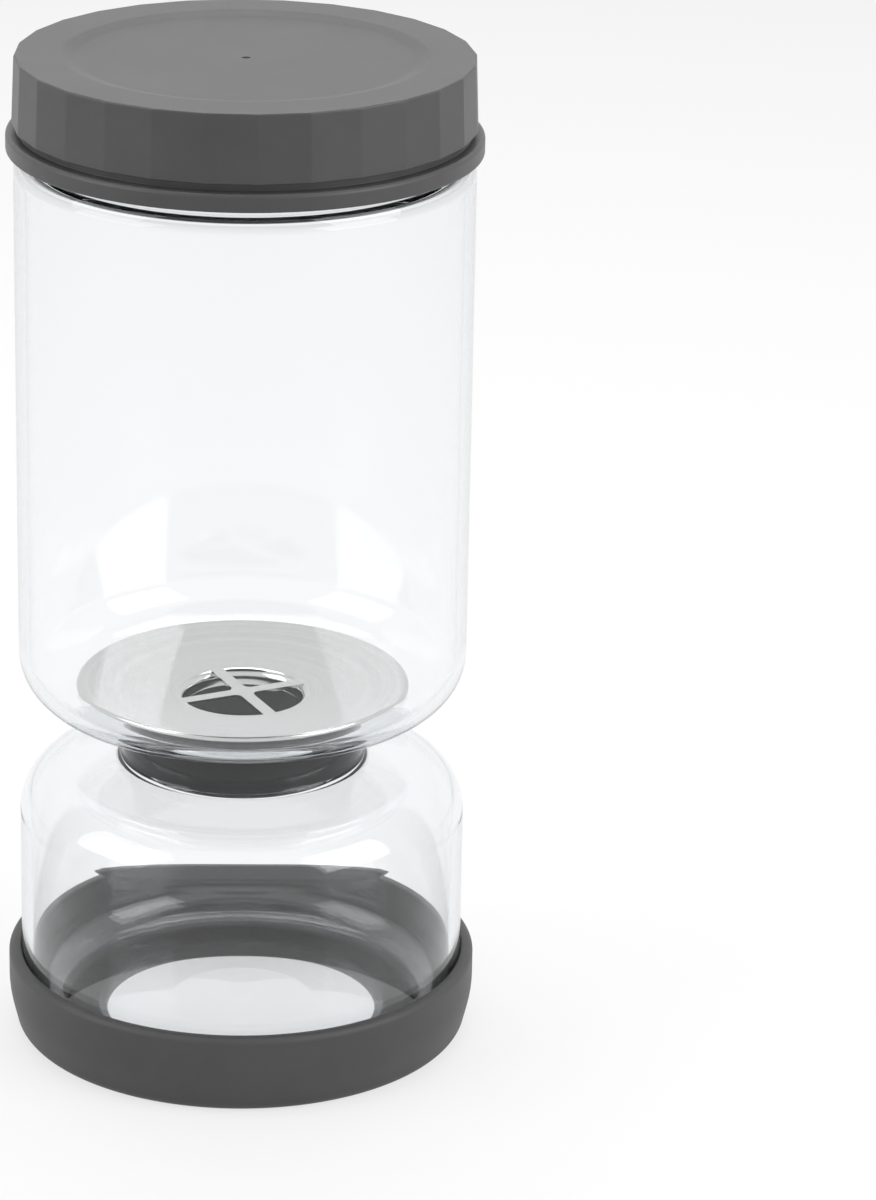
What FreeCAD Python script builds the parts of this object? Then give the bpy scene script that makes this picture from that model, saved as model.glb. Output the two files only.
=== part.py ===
import FreeCAD, Part
import math
import os
import re
import Sketcher
from FreeCAD import Vector

# Hourglass storage jar: one blown glass body with two chambers joined by a narrow neck,
# a screw-on lid with a faceted skirt, a steel strainer whose soft seal plugs the neck,
# and a soft ring that the glass stands in.
# Millimetres. +Z is up, and the origin is the centre of the ring's underside.

SIZES = {
    # glass body
    "glass_radius": (50.0, "outside radius of both chambers"),
    "glass_wall": (2.5, "thickness of the blown wall"),
    "glass_base": (3.2, "thickness of the closed bottom at its edge"),
    "base_rise": (1.2, "rise of the bottom's outside towards the middle"),
    "base_rise_radius": (32.5, "radius where the bottom's outside starts to rise"),
    "base_run": (1.0, "straight run at each end of the bottom's rise"),
    "heel_radius": (10.0, "outside rounding of the closed bottom"),
    "lower_height": (63.5, "height of the lower chamber up to the neck, outside"),
    "lower_dome": (3.4, "rise of the lower chamber's top towards the neck"),
    "lower_shoulder": (11.5, "outside rounding at the top of the lower chamber"),
    "neck_radius": (27.2, "outside radius of the neck"),
    "neck_height": (13.0, "distance between the two chambers"),
    "neck_blend": (2.0, "hollow rounding where the neck meets a chamber, outside"),
    "neck_lip": (1.0, "rounding where the neck opens into the lower chamber, inside"),
    "upper_height": (125.5, "height of the upper chamber up to its sloping shoulder"),
    "upper_corner": (12.4, "outside rounding at the bottom of the upper chamber"),
    "mouth_shoulder": (5.0, "rounding where the upper chamber turns in to the mouth"),
    "mouth_inset": (4.0, "how far the mouth stands in from the chamber"),
    "mouth_rise": (2.0, "rise of the sloping shoulder under the mouth"),
    "mouth_blend": (1.2, "hollow rounding at the foot of the mouth"),
    "mouth_height": (17.3, "straight height of the mouth"),
    "rim_flat": (0.5, "flat width left on top of the rounded mouth"),
    # lid
    "thread_room": (1.5, "radial room between the mouth and the lid"),
    "lid_wall": (1.3, "thickness of the plain wall behind the facets"),
    "lid_plate": (2.2, "thickness of the lid's centre panel"),
    "skirt_wall": (2.75, "lid wall measured to a facet corner"),
    "skirt_draft": (2.3, "lean of the facets, degrees"),
    "facet_count": (28, "number of flats round the skirt"),
    "facet_turn": (2.9, "direction of the first facet corner, degrees"),
    "lid_edge": (0.5, "rounding of the lid's top edge"),
    "gap_height": (1.6, "height of the slot between the skirt and the flange"),
    "flange_height": (4.0, "height of the flange"),
    "flange_lip": (1.35, "how far the flange stands out from a facet corner"),
    "flange_edge": (0.5, "rounding of the flange's lower edge"),
    "flange_crown": (1.0, "rounding of the flange's upper edge"),
    "shoulder_gap": (0.45, "height of the gap between the flange and the sloping shoulder"),
    "recess_radius": (39.6, "radius where the panel starts to step down"),
    "recess_slope": (3.3, "width of the slope into the panel"),
    "recess_depth": (0.8, "depth of the panel"),
    "gate_radius": (0.9, "radius of the moulding mark in the middle"),
    "gate_depth": (0.3, "depth of the moulding mark"),
    # strainer
    "sheet": (0.7, "thickness of the steel sheet"),
    "dish_margin": (0.4, "room between the dish and the rounded chamber corner"),
    "dish_curve": (184.0, "radius of the dish's round underside"),
    "dish_run": (0.5, "straight run between the round part and the roll at the hole"),
    "dish_seat": (0.1, "running gap between the dish and the chamber floor"),
    "rim_bead": (0.7, "radius of the rolled rim"),
    "hole_radius": (13.1, "radius of the hole in the dish"),
    "hole_roll": (2.0, "rounding of the sheet down into the hole"),
    "hole_lip": (1.0, "straight length of the hole's turned-down lip"),
    "bar_width": (3.0, "width of a cross bar"),
    "bar_web": (1.6, "rounding where the two bars cross"),
    "bar_turn": (24.0, "direction of the first bar, degrees"),
    "seal_gap": (0.1, "radial gap between the seal and the neck"),
    "seal_wall": (2.6, "thickness of the seal"),
    "seal_seat": (0.02, "gap between the seal and the dish"),
    "seal_edge": (1.0, "rounding of the seal's lower edge"),
    "seal_rise": (1.1, "height of the seal's lower edge over the neck's lower end, inside"),
    # foot ring
    "foot_height": (18.6, "height of the foot ring"),
    "foot_wall": (2.75, "thickness of the foot ring's wall"),
    "foot_floor": (2.0, "thickness under the glass"),
    "foot_gap": (0.15, "radial gap between the glass and the foot ring"),
    "foot_opening": (30.8, "radius of the opening under the glass"),
    "foot_taper": (2.2, "how far the foot ring draws in at the bottom"),
    "foot_taper_top": (9.0, "height where the foot ring starts to draw in"),
    "foot_blend": (25.0, "long rounding into the drawn-in part"),
    "foot_edge": (3.0, "rounding of the bottom edge"),
    "foot_rim": (1.5, "outside rounding of the rim"),
    "foot_bead": (0.6, "small rounding of the inner edges"),
}

# Radii and heights that the sheet's sizes lead to.
INNER = "(glass_radius - glass_wall)"
MOUTH = "(glass_radius - mouth_inset)"
NECK_INNER = "(neck_radius - glass_wall)"
LOWER_TOP = "(foot_floor + lower_height)"
UPPER_FLOOR = "(foot_floor + lower_height + neck_height)"
SHOULDER_TOP = f"({UPPER_FLOOR} + upper_height)"
MOUTH_FOOT = f"({SHOULDER_TOP} + mouth_rise)"
RIM_TOP = f"({MOUTH_FOOT} + mouth_height)"
RIM_ROUNDING = "((glass_wall - rim_flat) / 2)"
LID_TOP = f"({RIM_TOP} + lid_plate + recess_depth)"
LID_INNER = f"({MOUTH} + thread_room)"
SKIRT_CORNER = f"({LID_INNER} + skirt_wall)"
FLANGE_LOW = f"({SHOULDER_TOP} + (glass_radius - {LID_INNER}) * mouth_rise / mouth_inset + shoulder_gap)"
FLANGE_TOP = f"({FLANGE_LOW} + flange_height)"
SKIRT_LOW = f"({FLANGE_TOP} + gap_height)"
PANEL_TOP = f"({RIM_TOP} + lid_plate)"
DISH_RADIUS = "(glass_radius - upper_corner - dish_margin)"
SEAT_RADIUS = "(neck_radius + neck_blend)"
SEAT_HEIGHT = f"({UPPER_FLOOR} + glass_wall + dish_seat)"
RIM_TOUCH = f"({DISH_RADIUS} - 2 * rim_bead)"
RIM_LIFT = f"(2 * rim_bead - rim_bead * tan(asin({RIM_TOUCH} / (dish_curve - sheet))))"
OVER_SEAT = f"({SEAT_HEIGHT} + sqrt(dish_curve^2 - {SEAT_RADIUS}^2))"
OVER_FLOOR = f"({SEAT_HEIGHT} + {RIM_LIFT} + sqrt((dish_curve - sheet)^2 - {RIM_TOUCH}^2))"
DISH_CENTRE = f"max({OVER_SEAT}; {OVER_FLOOR})"
SEAL_RADIUS = f"({NECK_INNER} - seal_gap)"
SEAL_LOW = f"({LOWER_TOP} - glass_wall + seal_rise)"
FOOT_INNER = "(glass_radius + foot_gap)"
FOOT_RADIUS = f"({FOOT_INNER} + foot_wall)"


def dish_height(radius, inset="0"):
    """Height, at a radius, of the dish's round underside or of the surface that lies inset above it."""
    return f"({DISH_CENTRE} - sqrt((dish_curve - {inset})^2 - {radius}^2))"


def dish_tangent(touch, radius, inset="0"):
    """Height, at a radius, of the straight line that leaves the dish's round surface at another radius."""
    slope = f"tan(asin({touch} / (dish_curve - {inset})))"
    return f"({dish_height(touch, inset)} + ({radius} - {touch}) * {slope})"


def dish_corner(inner, outer, inset="0"):
    """Where the tangents at two radii of the dish's round surface cross, and the rounding between them."""
    curve = f"(dish_curve - {inset})"
    middle = f"((asin({inner} / {curve}) + asin({outer} / {curve})) / 2)"
    half = f"((asin({outer} / {curve}) - asin({inner} / {curve})) / 2)"
    across = f"({curve} * sin({middle}) / cos({half}))"
    up = f"({DISH_CENTRE} - {curve} * cos({middle}) / cos({half}))"
    return across, up, curve


def bound(expression):
    """The expression with each size's name pointing at its cell in the sheet."""
    names = "|".join(SIZES)
    return re.sub(rf"\b({names})\b", r"Sizes.\1", expression)


def value(doc, expression):
    """What an expression comes to with the sheet's present sizes."""
    return float(doc.Sizes.evalExpression(bound(expression)))


def make_sheet(doc):
    """Writes each size into a cell of its own, under its name."""
    sheet = doc.addObject("Spreadsheet::Sheet", "Sizes")
    for row, (name, (number, meaning)) in enumerate(SIZES.items(), start=1):
        sheet.set(f"A{row}", name)
        sheet.set(f"B{row}", str(number))
        sheet.set(f"C{row}", meaning)
        sheet.setAlias(f"B{row}", name)
    doc.recompute()


def origin_plane(body, role):
    return next(item for item in body.Origin.OriginFeatures if item.Role == role)


def new_sketch(body, name, role):
    sketch = body.newObject("Sketcher::SketchObject", name)
    sketch.AttachmentSupport = (origin_plane(body, role), [""])
    sketch.MapMode = "FlatFace"
    return sketch


def pin(sketch, geometry, end, across, up):
    """Ties one point of a sketch to two sizes measured from the sketch's origin."""
    for kind, axis, expression in (("DistanceX", -2, across), ("DistanceY", -1, up)):
        if expression == "0":
            sketch.addConstraint(Sketcher.Constraint("PointOnObject", geometry, end, axis))
            continue
        distance = value(sketch.Document, expression)
        index = sketch.addConstraint(Sketcher.Constraint(kind, -1, 1, geometry, end, distance))
        sketch.setExpression(f"Constraints[{index}]", bound(expression))


def corner_cut(before, corner, after, radius):
    """Tangent points and centre of an arc that rounds a corner, and whether it turns left."""
    into = (corner - before).normalize()
    out = (after - corner).normalize()
    turn = into.getAngle(out)
    reach = radius * math.tan(turn / 2)
    left = into.cross(out).z > 0
    side = Vector(-into.y, into.x, 0) if left else Vector(into.y, -into.x, 0)
    start = corner - into * reach
    return start, corner + out * reach, start + side * radius, left


def draw_outline(sketch, corners):
    """Draws a closed outline of straight edges whose corners are (across, up, rounding or None)."""
    doc = sketch.Document
    count = len(corners)
    points = [Vector(value(doc, across), value(doc, up), 0) for across, up, _ in corners]
    starts, ends, arcs = list(points), list(points), [None] * count
    for i, (_, _, rounding) in enumerate(corners):
        if rounding is None:
            continue
        radius = value(doc, rounding)
        start, end, centre, left = corner_cut(points[i - 1], points[i], points[(i + 1) % count], radius)
        first, last = (start, end) if left else (end, start)
        circle = Part.Circle(centre, Vector(0, 0, 1), radius)
        arc = Part.ArcOfCircle(circle, circle.parameter(first), circle.parameter(last))
        arcs[i] = (arc, left, rounding)
        starts[i], ends[i] = start, end
    lines = [sketch.addGeometry(Part.LineSegment(ends[i], starts[(i + 1) % count])) for i in range(count)]
    for i, (across, up, _) in enumerate(corners):
        before, after = lines[i - 1], lines[i]
        if arcs[i] is None:
            sketch.addConstraint(Sketcher.Constraint("Coincident", before, 2, after, 1))
            pin(sketch, after, 1, across, up)
            continue
        arc, left, rounding = arcs[i]
        curve = sketch.addGeometry(arc)
        mark = sketch.addGeometry(Part.Point(points[i]), True)
        arrive, leave = (1, 2) if left else (2, 1)
        sketch.addConstraint(Sketcher.Constraint("Tangent", before, 2, curve, arrive))
        sketch.addConstraint(Sketcher.Constraint("Tangent", curve, leave, after, 1))
        index = sketch.addConstraint(Sketcher.Constraint("Radius", curve, value(doc, rounding)))
        sketch.setExpression(f"Constraints[{index}]", bound(rounding))
        sketch.addConstraint(Sketcher.Constraint("PointOnObject", mark, 1, before))
        sketch.addConstraint(Sketcher.Constraint("PointOnObject", mark, 1, after))
        pin(sketch, mark, 1, across, up)


def draw_circle(sketch, across, up, radius):
    """Draws a circle whose centre and radius follow the sheet."""
    centre = Vector(value(sketch.Document, across), value(sketch.Document, up), 0)
    size = value(sketch.Document, radius)
    circle = sketch.addGeometry(Part.Circle(centre, Vector(0, 0, 1), size))
    pin(sketch, circle, 3, across, up)
    index = sketch.addConstraint(Sketcher.Constraint("Radius", circle, size))
    sketch.setExpression(f"Constraints[{index}]", bound(radius))


def turned(body, name, corners, feature="PartDesign::Revolution"):
    """Turns an outline, drawn as radius and height, about the vertical axis."""
    sketch = new_sketch(body, name + "Outline", "XZ_Plane")
    draw_outline(sketch, corners)
    return turn_sketch(body, name, sketch, feature)


def turn_sketch(body, name, sketch, feature="PartDesign::Revolution"):
    """Turns a sketch about the vertical axis, which adds to the body or, as a groove, cuts it."""
    solid = body.newObject(feature, name)
    solid.Profile = sketch
    solid.ReferenceAxis = (sketch, ["V_Axis"])
    solid.Angle = 360
    body.Tip = solid
    return solid


def make_body(doc, name):
    """An empty body whose label names its piece."""
    body = doc.addObject("PartDesign::Body", name)
    body.Label = name
    return body


def make_glass(doc):
    """Both chambers, the neck and the mouth, blown in one piece with an even wall."""
    body = make_body(doc, "jar_glass")
    rise = "(base_rise_radius / 2 - base_run) / tan(atan(2 * base_rise / base_rise_radius) / 2)"
    turned(body, "Glass", [
        ("0", "foot_floor + base_rise", None),
        ("base_rise_radius / 2", "foot_floor + base_rise", rise),
        ("base_rise_radius", "foot_floor", None),
        ("glass_radius", "foot_floor", "heel_radius"),
        ("glass_radius", f"{LOWER_TOP} - lower_dome", "lower_shoulder"),
        ("neck_radius", LOWER_TOP, "neck_blend"),
        ("neck_radius", UPPER_FLOOR, "neck_blend"),
        ("glass_radius", UPPER_FLOOR, "upper_corner"),
        ("glass_radius", SHOULDER_TOP, "mouth_shoulder"),
        (MOUTH, MOUTH_FOOT, "mouth_blend"),
        (MOUTH, RIM_TOP, RIM_ROUNDING),
        (f"{MOUTH} - glass_wall", RIM_TOP, RIM_ROUNDING),
        (f"{MOUTH} - glass_wall", f"{MOUTH_FOOT} - glass_wall", "mouth_blend + glass_wall"),
        (INNER, f"{SHOULDER_TOP} - glass_wall", "mouth_shoulder - glass_wall"),
        (INNER, f"{UPPER_FLOOR} + glass_wall", "upper_corner - glass_wall"),
        (NECK_INNER, f"{UPPER_FLOOR} + glass_wall", "neck_blend + glass_wall"),
        (NECK_INNER, f"{LOWER_TOP} - glass_wall", "neck_lip"),
        (INNER, f"{LOWER_TOP} - lower_dome - glass_wall", "lower_shoulder - glass_wall"),
        (INNER, "foot_floor + glass_base", "heel_radius - glass_wall"),
        ("0", "foot_floor + glass_base", None),
    ])
    return body


def draw_polygon(sketch, count, radius):
    """Draws a regular polygon whose first corner lies on the sketch's horizontal axis."""
    size = value(sketch.Document, radius)
    rim = sketch.addGeometry(Part.Circle(Vector(0, 0, 0), Vector(0, 0, 1), size), True)
    sketch.addConstraint(Sketcher.Constraint("Coincident", rim, 3, -1, 1))
    index = sketch.addConstraint(Sketcher.Constraint("Radius", rim, size))
    sketch.setExpression(f"Constraints[{index}]", bound(radius))
    angles = [2 * math.pi * i / count for i in range(count)]
    corners = [Vector(size * math.cos(angle), size * math.sin(angle), 0) for angle in angles]
    sides = [sketch.addGeometry(Part.LineSegment(corners[i - 1], corners[i])) for i in range(count)]
    for i in range(count):
        sketch.addConstraint(Sketcher.Constraint("Coincident", sides[i - 1], 2, sides[i], 1))
        sketch.addConstraint(Sketcher.Constraint("PointOnObject", sides[i], 2, rim))
    for side in sides[1:]:
        sketch.addConstraint(Sketcher.Constraint("Equal", sides[0], side))
    sketch.addConstraint(Sketcher.Constraint("PointOnObject", sides[0], 2, -1))


def make_lid(doc):
    """Faceted skirt over a plain wall, a flange under a narrow slot, and a sunk centre panel."""
    body = make_body(doc, "lid")
    sketch = new_sketch(body, "SkirtOutline", "XY_Plane")
    draw_polygon(sketch, round(value(doc, "facet_count")), SKIRT_CORNER)
    sketch.setExpression("AttachmentOffset.Base.z", bound(SKIRT_LOW))
    skirt = body.newObject("PartDesign::Pad", "Skirt")
    skirt.Profile = sketch
    skirt.setExpression("Length", bound(f"{LID_TOP} - {SKIRT_LOW}"))
    skirt.setExpression("TaperAngle", bound("-skirt_draft"))
    body.Tip = skirt
    doc.recompute()
    top = value(doc, LID_TOP)
    around = [f"Edge{i}" for i, edge in enumerate(skirt.Shape.Edges, start=1)
              if all(abs(vertex.Z - top) < 1e-6 for vertex in edge.Vertexes)]
    rounded = body.newObject("PartDesign::Fillet", "TopEdge")
    rounded.Base = (skirt, around)
    rounded.setExpression("Radius", bound("lid_edge"))
    body.Tip = rounded
    doc.recompute()
    turned(body, "Flange", [
        (f"{LID_INNER} - lid_wall", FLANGE_LOW, None),
        (f"{SKIRT_CORNER} + flange_lip", FLANGE_LOW, "flange_edge"),
        (f"{SKIRT_CORNER} + flange_lip", FLANGE_TOP, "flange_crown"),
        (f"{LID_INNER} + lid_wall", FLANGE_TOP, None),
        (f"{LID_INNER} + lid_wall", f"{SKIRT_LOW} + gap_height", None),
        (f"{LID_INNER} - lid_wall", f"{SKIRT_LOW} + gap_height", None),
    ])
    turned(body, "Inside", [
        ("0", f"{FLANGE_LOW} - flange_height", None),
        (LID_INNER, f"{FLANGE_LOW} - flange_height", None),
        (LID_INNER, RIM_TOP, "lid_wall"),
        ("0", RIM_TOP, None),
    ], "PartDesign::Groove")
    turned(body, "Panel", [
        ("0", f"{PANEL_TOP} - gate_depth", None),
        ("gate_radius", f"{PANEL_TOP} - gate_depth", None),
        ("gate_radius", PANEL_TOP, None),
        ("recess_radius - recess_slope", PANEL_TOP, "recess_slope"),
        ("recess_radius", LID_TOP, "recess_slope"),
        (f"{SKIRT_CORNER} - lid_wall", LID_TOP, None),
        (f"{SKIRT_CORNER} - lid_wall", f"{LID_TOP} + recess_depth", None),
        ("0", f"{LID_TOP} + recess_depth", None),
    ], "PartDesign::Groove")
    body.setExpression("Placement.Rotation.Angle", bound("facet_turn"))
    return body


def make_dish(doc):
    """Shallow round dish with a rolled rim, a hole turned down at its edge, and two crossing bars."""
    body = make_body(doc, "strainer_dish")
    bend = "(hole_radius + hole_roll)"
    inner = f"({bend} + dish_run)"
    bead = f"({DISH_RADIUS} - rim_bead)"
    lip = "(hole_radius + sheet)"
    lip_low = f"({dish_height(bend)} - hole_roll - hole_lip)"
    turned(body, "Dish", [
        ("hole_radius", lip_low, None),
        (lip, lip_low, None),
        (lip, dish_tangent(inner, lip), "hole_roll - sheet"),
        dish_corner(inner, RIM_TOUCH),
        (bead, dish_tangent(RIM_TOUCH, bead), None),
        (bead, dish_tangent(RIM_TOUCH, bead, "sheet"), None),
        dish_corner(inner, RIM_TOUCH, "sheet"),
        ("hole_radius", dish_tangent(inner, "hole_radius", "sheet"), "hole_roll"),
    ])
    ring = new_sketch(body, "RimOutline", "XZ_Plane")
    draw_circle(ring, bead, f"{dish_tangent(RIM_TOUCH, bead, 'sheet')} - rim_bead", "rim_bead")
    turn_sketch(body, "Rim", ring)
    make_bars(body, bend)
    body.setExpression("Placement.Rotation.Angle", bound("bar_turn"))
    return body


def make_bars(body, reach):
    """Flat cross over the dish's hole, with rounded webs and ends let into the dish at a radius."""
    half, end = "(bar_width / 2)", f"({reach} + bar_web / 2)"
    arm = [(half, half, "bar_web"), (half, end, None), (f"(-1 * {half})", end, None)]
    corners = []
    for _ in range(4):
        corners += arm
        arm = [(f"(-1 * {up})", across, rounding) for across, up, rounding in arm]
    sketch = new_sketch(body, "BarsOutline", "XY_Plane")
    draw_outline(sketch, corners)
    sketch.setExpression("AttachmentOffset.Base.z", bound(f"{dish_height(reach, 'sheet')} - sheet"))
    bars = body.newObject("PartDesign::Pad", "Bars")
    bars.Profile = sketch
    bars.setExpression("Length", bound("sheet"))
    body.Tip = bars


def make_seal(doc):
    """Soft ring under the dish that plugs the neck, rounded at its lower edge."""
    body = make_body(doc, "strainer_seal")
    inside = f"({SEAL_RADIUS} - seal_wall)"
    middle = f"({SEAL_RADIUS} - seal_wall / 2)"
    turned(body, "Seal", [
        (inside, SEAL_LOW, "seal_edge"),
        (SEAL_RADIUS, SEAL_LOW, "seal_edge"),
        (SEAL_RADIUS, f"{dish_tangent(middle, SEAL_RADIUS)} - seal_seat", None),
        (inside, f"{dish_tangent(middle, inside)} - seal_seat", None),
    ])
    return body


def make_foot(doc):
    """Soft ring round the lower chamber's heel, open in the middle."""
    body = make_body(doc, "foot_ring")
    turned(body, "Foot", [
        ("foot_opening", "0", "foot_bead"),
        (f"{FOOT_RADIUS} - foot_taper", "0", "foot_edge"),
        (FOOT_RADIUS, "foot_taper_top", "foot_blend"),
        (FOOT_RADIUS, "foot_height", "foot_rim"),
        (FOOT_INNER, "foot_height", "foot_bead"),
        (FOOT_INNER, "foot_floor", "heel_radius"),
        ("foot_opening", "foot_floor", "foot_bead"),
    ])
    return body


def check(doc, bodies):
    for item in doc.Objects:
        if "Invalid" in item.State or "Error" in item.State:
            raise RuntimeError(f"{item.Label} did not build: {item.State}")
    for body in bodies:
        shape = body.Shape
        if shape.isNull() or not shape.isValid() or len(shape.Solids) != 1:
            raise RuntimeError(f"{body.Label} is not one valid solid")


def main():
    doc = FreeCAD.newDocument("HourglassJar")
    make_sheet(doc)
    bodies = [make_glass(doc), make_lid(doc), make_dish(doc), make_seal(doc), make_foot(doc)]
    doc.recompute()
    check(doc, bodies)
    os.makedirs("parts", exist_ok=True)
    for body in bodies:
        body.Shape.exportStep(f"parts/{body.Label}.step")
        box = body.Shape.optimalBoundingBox()
        print(f"{body.Label}: {body.Shape.Volume / 1000:.2f} cm3, "
              f"X {box.XMin:.2f} to {box.XMax:.2f}, Z {box.ZMin:.2f} to {box.ZMax:.2f}")


main()
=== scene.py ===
import math

import bpy
from mathutils import Matrix, Vector


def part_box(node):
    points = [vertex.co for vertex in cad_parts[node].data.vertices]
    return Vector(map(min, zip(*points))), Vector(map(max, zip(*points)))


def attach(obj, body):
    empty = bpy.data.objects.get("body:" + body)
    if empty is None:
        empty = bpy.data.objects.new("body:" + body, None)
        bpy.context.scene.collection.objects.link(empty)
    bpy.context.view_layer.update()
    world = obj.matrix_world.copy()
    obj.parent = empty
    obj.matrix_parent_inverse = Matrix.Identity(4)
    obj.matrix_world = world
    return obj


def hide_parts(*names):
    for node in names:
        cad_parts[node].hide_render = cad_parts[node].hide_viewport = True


# Hourglass pickle jar: blown glass, faceted dark lid, polished strainer over the neck, soft foot ring.
# Metres. +Z is up, -Y is the front, and the jar stands on z = 0.

MM = 0.001
SMOOTH_LIMIT = math.radians(32)

# ---------------------------------------------------------------- outlines and turned meshes


def rounded(corners, closed, step=math.radians(5)):
    """Points of an outline with arcs at its roundings; corners are (across, up, rounding in mm, mark)."""
    spots = [Vector((across, up)) for across, up, _, _ in corners]
    points = []
    for i, (_, _, rounding, mark) in enumerate(corners):
        if not rounding or (not closed and i in (0, len(corners) - 1)):
            points.append((spots[i], mark))
            continue
        into = (spots[i] - spots[i - 1]).normalized()
        out = (spots[(i + 1) % len(spots)] - spots[i]).normalized()
        turn = math.atan2(into.x * out.y - into.y * out.x, into.dot(out))
        side = Vector((-into.y, into.x)) * math.copysign(rounding, turn)
        start = spots[i] - into * rounding * math.tan(abs(turn) / 2)
        count = max(2, math.ceil(abs(turn) / step))
        for k in range(count + 1):
            arm = Matrix.Rotation(turn * k / count, 2) @ -side
            points.append((start + side + arm, mark))
    return points


def divided(points, closed, edge=0.35, longest=9.0):
    """The same outline with its long straight runs divided, and held close to both ends."""
    result = []
    pairs = list(zip(points, points[1:] + points[:1] if closed else points[1:]))
    for (here, mark), (there, next_mark) in pairs:
        result.append((here, mark))
        length = (there - here).length
        if length < 4 * edge:
            continue
        inner = max(1, math.ceil((length - 2 * edge) / longest))
        shares = [(edge + (length - 2 * edge) * k / inner) / length for k in range(inner + 1)]
        for share in shares:
            result.append((here.lerp(there, share), mark + (next_mark - mark) * share))
    if not closed:
        result.append(points[-1])
    return result


def ring_directions(count):
    """Evenly spaced directions for a round ring."""
    return [2 * math.pi * k / count for k in range(count)]


def turned(name, corners, closed, directions, shape=None, step=math.radians(5)):
    """Turns an outline about the vertical axis. shape(direction, across) moves points marked above 0."""
    outline = divided(rounded(corners, closed, step), closed)
    verts, rings = [], []
    for point, mark in outline:
        if point.x < 1e-6:
            rings.append([len(verts)] * len(directions))
            verts.append((0, 0, point.y * MM))
            continue
        rings.append(list(range(len(verts), len(verts) + len(directions))))
        for direction in directions:
            across, angle = point.x, direction
            if mark > 0:
                flat_across, flat_angle = shape(direction, across)
                across += (flat_across - across) * mark
                angle += (flat_angle - angle) * mark
            verts.append((across * math.cos(angle) * MM, across * math.sin(angle) * MM, point.y * MM))
    faces = []
    around = len(directions)
    for ring, following in zip(rings, rings[1:] + rings[:1] if closed else rings[1:]):
        for k in range(around):
            loop = [ring[k], ring[(k + 1) % around], following[(k + 1) % around], following[k]]
            face = tuple(dict.fromkeys(loop))
            if len(face) > 2:
                faces.append(face)
    mesh = bpy.data.meshes.new(name)
    mesh.from_pydata(verts, [], faces)
    mesh.validate()
    return add_piece(name, mesh)


def add_piece(name, mesh):
    """Puts a mesh in the scene with smooth shading that stops at real edges."""
    mesh.update()
    mesh.shade_smooth()
    mesh.set_sharp_from_angle(angle=SMOOTH_LIMIT)
    piece = bpy.data.objects.new(name, mesh)
    bpy.context.scene.collection.objects.link(piece)
    return piece


def dress(piece, material, node):
    """Gives a piece its material and its place in the frame."""
    piece.data.materials.clear()
    piece.data.materials.append(material)
    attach(piece, "root")
    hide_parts(node)


# ---------------------------------------------------------------- material helpers


def new_material(name):
    material = bpy.data.materials.new(name)
    material.use_nodes = True
    nodes = material.node_tree.nodes
    return material, material.node_tree, nodes["Principled BSDF"], nodes["Material Output"]


def add(tree, kind, **settings):
    """Adds a node; settings name its properties, or its inputs with spaces as underscores."""
    node = tree.nodes.new(kind)
    for key, setting in settings.items():
        label = key.replace("_", " ")
        if label in node.inputs:
            node.inputs[label].default_value = setting
        else:
            setattr(node, key, setting)
    return node


def math_node(tree, operation, first, second=None, third=None):
    """A Math node fed by numbers or by other nodes' outputs."""
    node = tree.nodes.new("ShaderNodeMath")
    node.operation = operation
    for place, source in enumerate((first, second, third)):
        if source is None:
            continue
        if isinstance(source, (int, float)):
            node.inputs[place].default_value = source
        else:
            tree.links.new(source, node.inputs[place])
    return node.outputs[0]


def ramp(tree, source, stops, interpolation="LINEAR"):
    """A colour ramp with (position, grey or colour) stops."""
    node = tree.nodes.new("ShaderNodeValToRGB")
    node.color_ramp.interpolation = interpolation
    elements = node.color_ramp.elements
    for index, (position, tone) in enumerate(stops):
        element = elements[index] if index < 2 else elements.new(position)
        element.position = position
        element.color = (tone, tone, tone, 1) if isinstance(tone, (int, float)) else (*tone, 1)
    tree.links.new(source, node.inputs[0])
    return node.outputs[0]


# ---------------------------------------------------------------- materials


def glass_material():
    """Clear borosilicate with a faint cool body tint."""
    material, tree, shader, output = new_material("clear_glass")
    shader.inputs["Base Color"].default_value = (1, 1, 1, 1)
    shader.inputs["Roughness"].default_value = 0.0
    shader.inputs["IOR"].default_value = 1.474
    shader.inputs["Transmission Weight"].default_value = 1.0
    body = add(tree, "ShaderNodeVolumeAbsorption", Color=(0.62, 0.70, 0.76, 1), Density=40.0)
    tree.links.new(body.outputs[0], output.inputs["Volume"])
    return material


def plastic_material(name, dark, light, roughness, grain_scale, grain_height):
    """Dark moulded plastic with mottled tone, an uneven sheen and a fine grain."""
    material, tree, shader, _ = new_material(name)
    place = add(tree, "ShaderNodeTexCoord").outputs["Object"]
    cloud = add(tree, "ShaderNodeTexNoise", Scale=60.0, Detail=4.0, Roughness=0.6)
    grain = add(tree, "ShaderNodeTexNoise", Scale=grain_scale, Detail=3.0, Roughness=0.65)
    tree.links.new(place, cloud.inputs["Vector"])
    tree.links.new(place, grain.inputs["Vector"])
    tone = ramp(tree, cloud.outputs[0], [(0.3, dark), (0.7, light)])
    tree.links.new(tone, shader.inputs["Base Color"])
    low, high = roughness
    sheen = math_node(tree, "MULTIPLY_ADD", grain.outputs[0], high - low, low)
    tree.links.new(sheen, shader.inputs["Roughness"])
    bump = add(tree, "ShaderNodeBump", Strength=1.0, Distance=grain_height)
    tree.links.new(grain.outputs[0], bump.inputs["Height"])
    tree.links.new(bump.outputs[0], shader.inputs["Normal"])
    return material


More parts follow.
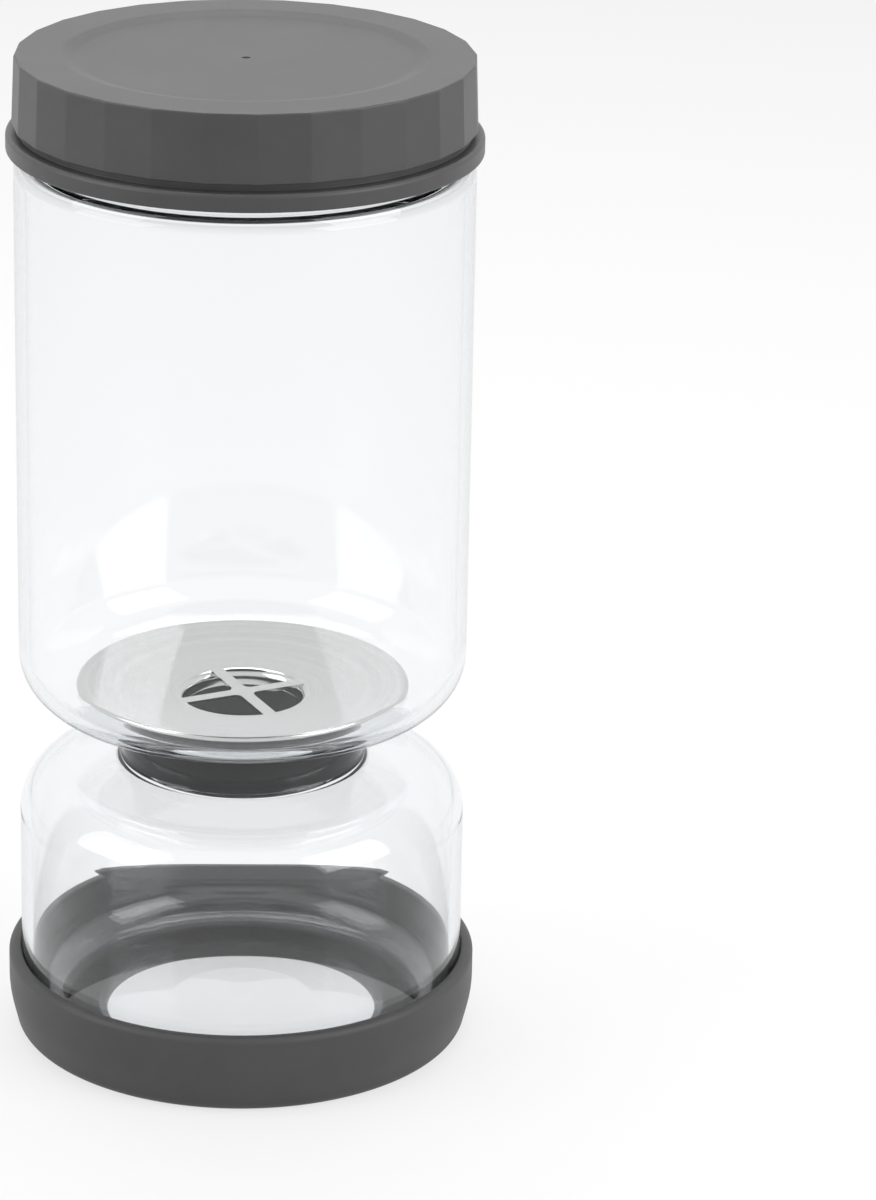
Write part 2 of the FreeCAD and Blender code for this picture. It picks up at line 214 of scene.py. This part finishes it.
def steel_material():
    """Mirror-polished stainless steel with faint turning marks."""
    material, tree, shader, _ = new_material("polished_steel")
    place = add(tree, "ShaderNodeTexCoord").outputs["Object"]
    split = add(tree, "ShaderNodeSeparateXYZ")
    tree.links.new(place, split.inputs[0])
    across = math_node(tree, "SQRT", math_node(tree, "ADD",
                       math_node(tree, "MULTIPLY", split.outputs[0], split.outputs[0]),
                       math_node(tree, "MULTIPLY", split.outputs[1], split.outputs[1])))
    place_round = add(tree, "ShaderNodeCombineXYZ")
    tree.links.new(across, place_round.inputs[0])
    tree.links.new(split.outputs[2], place_round.inputs[2])
    marks = add(tree, "ShaderNodeTexNoise", Scale=2200.0, Detail=2.0)
    tree.links.new(place_round.outputs[0], marks.inputs["Vector"])
    tone = ramp(tree, marks.outputs[0], [(0.3, (0.58, 0.575, 0.57)), (0.7, (0.64, 0.635, 0.63))])
    tree.links.new(tone, shader.inputs["Base Color"])
    shader.inputs["Metallic"].default_value = 1.0
    polish = math_node(tree, "MULTIPLY_ADD", marks.outputs[0], 0.05, 0.05)
    tree.links.new(polish, shader.inputs["Roughness"])
    return material


# ---------------------------------------------------------------- the jar

GLASS_WALL = 2.5
GLASS_BASE = 3.2
PUSH_UP = 1.2
PUSH_UP_RADIUS = 32.5
LOWER_HEIGHT = 63.5
LOWER_DOME = 3.4
NECK_RADIUS = 27.2
NECK_HEIGHT = 13.0
NECK_BLEND = 2.0
UPPER_HEIGHT = 125.5
MOUTH_INSET = 4.0
MOUTH_RISE = 2.0


def box_mm(node):
    """Low and high corners of a CAD node's box, in millimetres."""
    low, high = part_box(node)
    return [value / MM for value in low], [value / MM for value in high]


def glass_piece(material):
    """Both chambers, the neck and the mouth as one turned wall."""
    low, high = box_mm("jar_glass")
    radius, foot, rim = high[0], low[2], high[2]
    heel, shoulder, corner = 10.0, 11.5, 12.4
    mouth_shoulder, mouth_blend, neck_lip = 5.0, 1.2, 1.0
    wall, inner = GLASS_WALL, radius - GLASS_WALL
    lip = (wall - 0.5) / 2
    lower_top = foot + LOWER_HEIGHT
    floor = lower_top + NECK_HEIGHT
    shoulder_top = floor + UPPER_HEIGHT
    mouth, mouth_foot = radius - MOUTH_INSET, shoulder_top + MOUTH_RISE
    flat = PUSH_UP_RADIUS / 2
    push_up_curve = (flat - 1.0) / math.tan(math.atan(PUSH_UP / flat) / 2)
    corners = [
        (0, foot + PUSH_UP, 0, 0),
        (flat, foot + PUSH_UP, push_up_curve, 0),
        (PUSH_UP_RADIUS, foot, 0, 0),
        (radius, foot, heel, 0),
        (radius, lower_top - LOWER_DOME, shoulder, 0),
        (NECK_RADIUS, lower_top, NECK_BLEND, 0),
        (NECK_RADIUS, floor, NECK_BLEND, 0),
        (radius, floor, corner, 0),
        (radius, shoulder_top, mouth_shoulder, 0),
        (mouth, mouth_foot, mouth_blend, 0),
        (mouth, rim, lip, 0),
        (mouth - wall, rim, lip, 0),
        (mouth - wall, mouth_foot - wall, mouth_blend + wall, 0),
        (inner, shoulder_top - wall, mouth_shoulder - wall, 0),
        (inner, floor + wall, corner - wall, 0),
        (NECK_RADIUS - wall, floor + wall, NECK_BLEND + wall, 0),
        (NECK_RADIUS - wall, lower_top - wall, neck_lip, 0),
        (inner, lower_top - LOWER_DOME - wall, shoulder - wall, 0),
        (inner, foot + GLASS_BASE, heel - wall, 0),
        (0, foot + GLASS_BASE, 0, 0),
    ]
    piece = turned("jar_glass_wall", corners, False, ring_directions(288))
    dress(piece, material, "jar_glass")


FACETS = 28
FACET_TURN = math.radians(2.9)


def facet_directions(corner_share=0.12, flats=5):
    """Directions of one ring round the skirt: five close together at each corner, and the flat between."""
    half = math.pi / FACETS
    within = [corner_share * half * k / 2 for k in range(-2, 3)]
    start, end = corner_share * half, 2 * half - corner_share * half
    within += [start + (end - start) * k / flats for k in range(1, flats)]
    return [FACET_TURN + 2 * half * i + turn for i in range(FACETS) for turn in within]


def on_facet(direction, across, softness=0.12):
    """Where a point at a direction lies on a polygon whose corners, a little softened, are at across."""
    half = math.pi / FACETS
    along = (direction - FACET_TURN) % (2 * half) - half
    flat = across * math.cos(half) / math.cos(along)
    soft = softness * half
    past = half - abs(along)
    if past < soft:
        flat -= across * 0.012 * (1 - past / soft) ** 2 * soft
    return flat, direction


def lid_piece(material):
    """Faceted skirt, slot and flange, with a sunk panel on top and a plain inside."""
    low, high = box_mm("lid")
    _, glass_high = box_mm("jar_glass")
    top, flange_low, flange_radius, rim = high[2], low[2], high[0], glass_high[2]
    flange_height, flange_lip, slot_height, slot_wall = 4.0, 1.35, 1.6, 1.3
    skirt_draft, mouth_clearance, panel_plate, recess, slope = math.radians(2.3), 1.5, 2.2, 39.6, 3.3
    flange_top = flange_low + flange_height
    skirt_low, skirt = flange_top + slot_height, flange_radius - flange_lip
    skirt_top = skirt - math.tan(skirt_draft) * (top - skirt_low)
    inside = glass_high[0] - MOUTH_INSET + mouth_clearance
    slot, panel = inside + slot_wall, rim + panel_plate
    gate, gate_depth = 0.9, 0.3
    corners = [
        (0, panel - gate_depth, 0, 0),
        (gate, panel - gate_depth, 0.1, 0),
        (gate, panel, 0.1, 0),
        (recess - slope, panel, slope, 0),
        (recess, top, slope, 0),
        (skirt_top, top, 0.5, 1),
        (skirt, skirt_low, 0.25, 1),
        (slot, skirt_low, 0.15, 0),
        (slot, flange_top, 0.15, 0),
        (flange_radius, flange_top, 1.0, 0),
        (flange_radius, flange_low, 0.5, 0),
        (inside, flange_low, 0.2, 0),
        (inside, rim, 1.3, 0),
        (0, rim, 0, 0),
    ]
    piece = turned("lid_shell", corners, False, facet_directions(), on_facet)
    dress(piece, material, "lid")


SHEET = 0.7
DISH_CURVE = 184.0
DISH_SEAT = 0.1
RIM_BEAD = 0.7
HOLE_RADIUS = 13.1
HOLE_ROLL = 2.0


def dish_height(centre, across, inset=0.0):
    """Height of the dish's underside, or of a surface inset from it, at a distance from the axis."""
    return centre - math.sqrt((DISH_CURVE - inset) ** 2 - across ** 2)


def strainer_dish_piece(material):
    """Shallow dish with a rolled rim and a turned-down hole, crossed by two bars."""
    low, high = box_mm("strainer_dish")
    glass_low, _ = box_mm("jar_glass")
    radius, lip_low = high[0], low[2]
    seat_height = glass_low[2] + LOWER_HEIGHT + NECK_HEIGHT + GLASS_WALL + DISH_SEAT
    centre = seat_height + math.sqrt(DISH_CURVE ** 2 - (NECK_RADIUS + NECK_BLEND) ** 2)
    bend, outer, bands = HOLE_RADIUS + HOLE_ROLL, radius - 2 * RIM_BEAD, 24
    spread = [bend + (outer - bend) * k / bands for k in range(1, bands + 1)]
    bead_across = radius - RIM_BEAD
    bead_height = dish_height(centre, bead_across, SHEET) - RIM_BEAD
    first, last, steps = math.radians(205), math.radians(465), 24
    corners = [
        (HOLE_RADIUS, lip_low, 0.2, 0),
        (HOLE_RADIUS + SHEET, lip_low, 0.2, 0),
        (HOLE_RADIUS + SHEET, dish_height(centre, HOLE_RADIUS + SHEET), HOLE_ROLL - SHEET, 0),
    ]
    corners += [(across, dish_height(centre, across), 0, 0) for across in spread]
    for k in range(steps + 1):
        angle = first + (last - first) * k / steps
        across = bead_across + RIM_BEAD * math.cos(angle)
        corners.append((across, bead_height + RIM_BEAD * math.sin(angle), 0, 0))
    corners += [(across, dish_height(centre, across, SHEET), 0, 0) for across in reversed(spread)]
    corners.append((HOLE_RADIUS, dish_height(centre, HOLE_RADIUS, SHEET), HOLE_ROLL, 0))
    piece = turned("strainer_dish_sheet", corners, True, ring_directions(256))
    join(piece, bars_piece(dish_height(centre, bend, SHEET) - SHEET, bend))
    dress(piece, material, "strainer_dish")


def join(piece, other):
    """Joins another closed mesh to a piece and removes it."""
    union = piece.modifiers.new("cross", "BOOLEAN")
    union.operation, union.solver, union.object = "UNION", "EXACT", other
    bpy.context.view_layer.update()
    seen = piece.evaluated_get(bpy.context.evaluated_depsgraph_get())
    joined = bpy.data.meshes.new_from_object(seen)
    piece.modifiers.clear()
    piece.data = joined
    bpy.data.objects.remove(other)
    joined.shade_smooth()
    joined.set_sharp_from_angle(angle=SMOOTH_LIMIT)


def bars_piece(height, reach):
    """Flat cross with rounded webs."""
    half, end, web, turn = 1.5, reach + 0.8, 1.6, math.radians(24)
    corners = []
    arm = [(half, half, web, 0), (half, end, 0, 0), (-half, end, 0, 0)]
    for _ in range(4):
        corners += arm
        arm = [(-up, across, rounding, mark) for across, up, rounding, mark in arm]
    spin = Matrix.Rotation(turn, 2)
    outline = [spin @ point for point, _ in rounded(corners, True)]
    count = len(outline)
    verts = [(p.x * MM, p.y * MM, height * MM) for p in outline]
    verts += [(p.x * MM, p.y * MM, (height + SHEET) * MM) for p in outline]
    faces = [tuple(reversed(range(count))), tuple(range(count, 2 * count))]
    faces += [(k, (k + 1) % count, count + (k + 1) % count, count + k) for k in range(count)]
    mesh = bpy.data.meshes.new("strainer_bars")
    mesh.from_pydata(verts, [], faces)
    return add_piece("strainer_bars", mesh)


def strainer_seal_piece(material):
    """Soft plug under the dish, pressed against the neck's bore and rounded at its lower edge."""
    low, high = box_mm("strainer_seal")
    wall, edge, pressed = 2.6, 1.0, 0.03
    radius, bottom, top = NECK_RADIUS - GLASS_WALL + pressed, low[2], high[2]
    corners = [
        (radius - wall, bottom, edge, 0),
        (radius, bottom, edge, 0),
        (radius, top, 0, 0),
        (radius - wall, top, 0, 0),
    ]
    piece = turned("strainer_seal_ring", corners, True, ring_directions(192))
    dress(piece, material, "strainer_seal")


def foot_piece(material):
    """Soft ring with a full rounded rim, drawn in towards the bottom."""
    _, high = box_mm("foot_ring")
    glass_low, glass_high = box_mm("jar_glass")
    radius, top, floor = high[0], high[2], glass_low[2]
    opening, taper, waist, bead, overlap = 30.8, 2.2, 9.0, 0.6, 0.15
    inside = glass_high[0] + overlap
    corners = [
        (opening, 0, bead, 0),
        (radius - taper, 0, 3.0, 0),
        (radius, waist, 25.0, 0),
        (radius, top, 1.5, 0),
        (inside, top, bead, 0),
        (inside, floor, 10.0, 0),
        (opening, floor, bead, 0),
    ]
    piece = turned("foot_ring_sleeve", corners, True, ring_directions(288), step=math.radians(4))
    dress(piece, material, "foot_ring")


# ---------------------------------------------------------------- floor, light and camera


FILL = 0.36
FLOOR_GLOW = 0.7
CAMERA_PLACE = (0, -1.02813, 0.48775)
CAMERA_PITCH, CAMERA_YAW, CAMERA_ROLL = 20.561, 2.4186, 1.1545
CAMERA_LENS, CAMERA_SENSOR = 147.77, 36.0


def white_rays(tree):
    """1 for rays that show the white background: seen straight, mirrored, or through glass."""
    path = add(tree, "ShaderNodeLightPath")
    straight = math_node(tree, "MAXIMUM", path.outputs["Is Camera Ray"], path.outputs["Is Glossy Ray"])
    return math_node(tree, "MAXIMUM", straight, path.outputs["Is Transmission Ray"])


def studio_world():
    """White background for what is seen, mirrored or seen through glass, and one even grey as fill light."""
    world = bpy.data.worlds.new("studio")
    bpy.context.scene.world = world
    world.use_nodes = True
    tree = world.node_tree
    background = tree.nodes["Background"]
    background.inputs["Color"].default_value = (1, 1, 1, 1)
    strength = math_node(tree, "MULTIPLY_ADD", white_rays(tree), 1.0 - FILL, FILL)
    tree.links.new(strength, background.inputs["Strength"])


def floor_piece():
    """Pale floor that keeps the jar's shadow and melts into the white behind it."""
    half = 3.0
    mesh = bpy.data.meshes.new("floor")
    verts = [(-half, -half, 0), (half, -half, 0), (half, half, 0), (-half, half, 0)]
    mesh.from_pydata(verts, [], [(0, 1, 2, 3)])
    floor = bpy.data.objects.new("floor", mesh)
    bpy.context.scene.collection.objects.link(floor)
    material, tree, shader, output = new_material("floor")
    tree.nodes.remove(shader)
    paper = add(tree, "ShaderNodeBsdfDiffuse", Color=(0.86, 0.86, 0.86, 1))
    glow = add(tree, "ShaderNodeEmission", Color=(1, 1, 1, 1), Strength=1.0)
    share = math_node(tree, "MULTIPLY", white_rays(tree), FLOOR_GLOW)
    both = add(tree, "ShaderNodeMixShader")
    tree.links.new(share, both.inputs[0])
    tree.links.new(paper.outputs[0], both.inputs[1])
    tree.links.new(glow.outputs[0], both.inputs[2])
    tree.links.new(both.outputs[0], output.inputs["Surface"])
    mesh.materials.append(material)


def soft_light(name, place, size, power, aim=(0, 0, 0.1)):
    """A square soft light that shines on the jar and shows in its gloss."""
    lamp = bpy.data.lights.new(name, "AREA")
    lamp.size, lamp.energy = size, power
    holder = bpy.data.objects.new(name, lamp)
    holder.location = place
    holder.rotation_euler = (Vector(aim) - Vector(place)).to_track_quat("-Z", "Y").to_euler()
    holder.visible_camera = False
    bpy.context.scene.collection.objects.link(holder)


def camera():
    pitch, yaw, roll = (math.radians(angle) for angle in (CAMERA_PITCH, CAMERA_YAW, CAMERA_ROLL))
    data = bpy.data.cameras.new("camera")
    data.lens, data.sensor_width, data.sensor_fit = CAMERA_LENS, CAMERA_SENSOR, "AUTO"
    holder = bpy.data.objects.new("camera", data)
    turn = Matrix.Rotation(-yaw, 4, "Z") @ Matrix.Rotation(math.pi / 2 - pitch, 4, "X")
    holder.matrix_world = Matrix.Translation(CAMERA_PLACE) @ turn @ Matrix.Rotation(roll, 4, "Z")
    bpy.context.scene.collection.objects.link(holder)
    bpy.context.scene.camera = holder


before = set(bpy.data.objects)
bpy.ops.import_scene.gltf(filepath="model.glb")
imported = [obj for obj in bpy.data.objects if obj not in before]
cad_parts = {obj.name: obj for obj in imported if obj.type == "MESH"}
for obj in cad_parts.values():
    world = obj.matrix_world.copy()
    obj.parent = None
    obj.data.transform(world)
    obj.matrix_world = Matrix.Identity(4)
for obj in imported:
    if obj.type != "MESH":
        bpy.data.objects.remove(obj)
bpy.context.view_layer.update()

bpy.context.scene.view_settings.view_transform = "Standard"
camera()
studio_world()
floor_piece()
soft_light("light_right", (0.9, -0.5, 0.6), 0.8, 6.6)
soft_light("light_left", (-0.9, -0.3, 0.6), 0.8, 4.4)
soft_light("light_over", (0.0, 0.3, 1.2), 0.9, 10.2)

glass_piece(glass_material())
lid_piece(plastic_material("lid_plastic", 0.046, 0.056, (0.34, 0.44), 5200.0, 0.00004))
strainer_dish_piece(steel_material())
strainer_seal_piece(plastic_material("seal_silicone", 0.018, 0.022, (0.45, 0.6), 4200.0, 0.00003))
foot_piece(plastic_material("foot_silicone", 0.048, 0.058, (0.45, 0.6), 4200.0, 0.00003))
